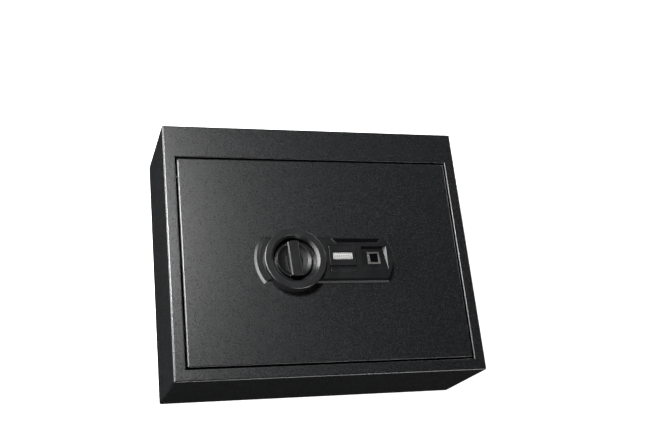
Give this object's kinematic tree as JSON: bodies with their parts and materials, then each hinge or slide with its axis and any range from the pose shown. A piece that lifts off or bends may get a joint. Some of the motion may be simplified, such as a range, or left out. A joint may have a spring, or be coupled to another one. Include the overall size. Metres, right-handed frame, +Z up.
{
  "type": "gun safe",
  "caption": "Flat steel drawer safe with a drop-in hinged lid, fingerprint lock, guarded turn knob and covered key lock.",
  "frame": {"origin": "centre of the underside", "axes": "+X across the width, +Y towards the hinge side, +Z up through the lid"},
  "size_m": [0.35, 0.29, 0.128],
  "materials": {
    "case_paint": "fine textured matt black powder coat",
    "lid_paint": "fine textured matt black powder coat",
    "panel_plastic": "satin black moulded plastic",
    "ring_plastic": "semi-gloss black",
    "knob_plastic": "satin black moulded plastic",
    "window_smoke": "smoked gloss black",
    "plate_metal": "brushed",
    "bezel_metal": "satin",
    "reader_black": "black glass",
    "zinc": "bright zinc plated",
    "bright_steel": "ground steel",
    "black_steel": "black oxide",
    "rubber_black": "matt",
    "foam_grey": "soft pile over foam",
    "brass_metal": "turned",
    "copper_coil": "lacquered copper winding",
    "inner_plastic": "black moulded plastic",
    "board_green": "solder mask",
    "chip_black": "moulded",
    "cell_wrap": "plain wrapper",
    "button_red": "moulded",
    "wire_red": "insulation"
  },
  "bodies": {
    "case": {"case_shell": "case_paint", "opening_fold": "case_paint", "base_plate": "case_paint", "floor_liner": "foam_grey", "front_stop": "case_paint", "left_stop": "case_paint", "right_stop": "case_paint", "bumpers": "rubber_black", "left_hinge_bracket": "case_paint", "right_hinge_bracket": "case_paint", "left_hinge_pin": "black_steel", "right_hinge_pin": "black_steel"},
    "knob": {"turn_knob": "knob_plastic", "knob_spindle": "bright_steel", "crank_disc": "zinc", "crank_pin": "bright_steel", "spindle_nut": "zinc"},
    "bolts": {"bolt_carriage": "zinc", "locking_bolts": "bright_steel", "bolt_nuts": "zinc"},
    "plunger": {"solenoid_plunger": "bright_steel"},
    "key": {"key_plug": "brass_metal", "key_cam": "zinc", "cam_screw": "zinc"},
    "key_cap": {"key_cover": "panel_plastic", "cover_plate": "plate_metal"},
    "battery_hatch": {"battery_door": "inner_plastic"},
    "button": {"enrol_button": "button_red"},
    "lid": {"left_hinge_plate": "zinc", "right_hinge_plate": "zinc", "lid_pan": "lid_paint", "lock_panel": "panel_plastic", "guard_ring": "ring_plastic", "knob_bush": "brass_metal", "guide_studs": "bright_steel", "guide_washers": "zinc", "solenoid_frame": "zinc", "solenoid_coil": "copper_coil", "key_barrel": "bright_steel", "key_nut": "zinc", "reader_bezel": "bezel_metal", "reader_glass": "reader_black", "status_window": "window_smoke", "panel_screws": "zinc", "ring_screws": "zinc", "inner_cover": "inner_plastic", "cover_posts": "zinc", "cover_screws": "zinc", "battery_tray": "inner_plastic", "batteries": "cell_wrap", "battery_contacts": "zinc", "circuit_board": "board_green", "board_posts": "zinc", "board_parts": "chip_black", "lead_wires": "wire_red"}
  },
  "joints": [
    {"name": "lid_hinge", "type": "hinge", "parent": "case", "child": "lid", "pos_m": [0, 0.085, 0.106], "axis": [-1, 0, 0], "range_deg": [0, 100]},
    {"name": "knob_turn", "type": "hinge", "parent": "lid", "child": "knob", "pos_m": [-0.0378, -0.0168, 0.122], "axis": [0, 0, 1], "range_deg": [0, 90]},
    {"name": "bolt_slide", "type": "slide", "parent": "lid", "child": "bolts", "axis": [0, -1, 0], "range_m": [0, 0.01273]},
    {"name": "plunger_slide", "type": "slide", "parent": "lid", "child": "plunger", "axis": [0, -1, 0], "range_m": [0, 0.004]},
    {"name": "key_turn", "type": "hinge", "parent": "lid", "child": "key", "pos_m": [0.01725, -0.01575, 0.11], "axis": [0, 0, 1], "range_deg": [0, 90]},
    {"name": "key_cap_pull", "type": "slide", "parent": "lid", "child": "key_cap", "axis": [0, 0, 1], "range_m": [0, 0.018]},
    {"name": "battery_door_slide", "type": "slide", "parent": "lid", "child": "battery_hatch", "axis": [1, 0, 0], "range_m": [0, 0.03]},
    {"name": "enrol_press", "type": "slide", "parent": "lid", "child": "button", "axis": [0, 0, 1], "range_m": [0, 0.0015], "stiffness_N_per_m": 300}
  ],
  "couplings": [
    {"joint": "knob_turn", "follows": "bolt_slide", "rad_per_m": 123.41}
  ]
}
